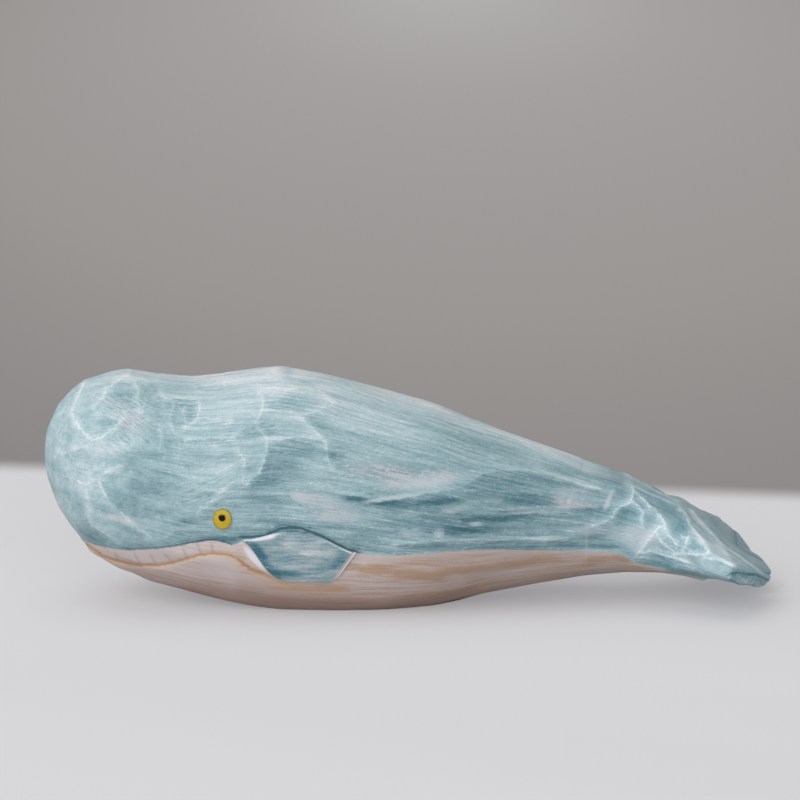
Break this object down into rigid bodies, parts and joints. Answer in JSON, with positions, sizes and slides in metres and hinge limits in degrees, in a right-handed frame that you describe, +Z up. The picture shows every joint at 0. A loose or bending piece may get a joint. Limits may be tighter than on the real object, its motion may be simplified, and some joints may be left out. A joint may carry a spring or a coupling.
{
  "type": "whale figurine",
  "caption": "Hand-carved wooden whale with a blunt head, mouth line, small side flippers and a low wide tail, resting on a flat belly.",
  "frame": {"origin": "middle of the footprint of the whole whale, at the height of the flat that it rests on", "axes": "+X runs from the nose to the tail, +Z is up, and +Y is the whale's right-hand side"},
  "size_m": [0.15, 0.049, 0.0476],
  "materials": {
    "painted_wood": "thin brushed blue paint over knife-cut wood, worn to white on the ridges, pinkish white belly",
    "bare_dowel": "bare turned hardwood",
    "flipper_wood": "brushed grey-blue paint over wood",
    "yellow_enamel": "thick mustard yellow paint bead",
    "black_enamel": "thick black paint dot"
  },
  "bodies": {
    "root": {"body": "painted_wood", "tail": "painted_wood", "tail_dowel": "bare_dowel", "flipper_left": "flipper_wood", "flipper_right": "flipper_wood", "eye_left": "yellow_enamel", "eye_right": "yellow_enamel", "pupil_left": "black_enamel", "pupil_right": "black_enamel"}
  },
  "joints": []
}
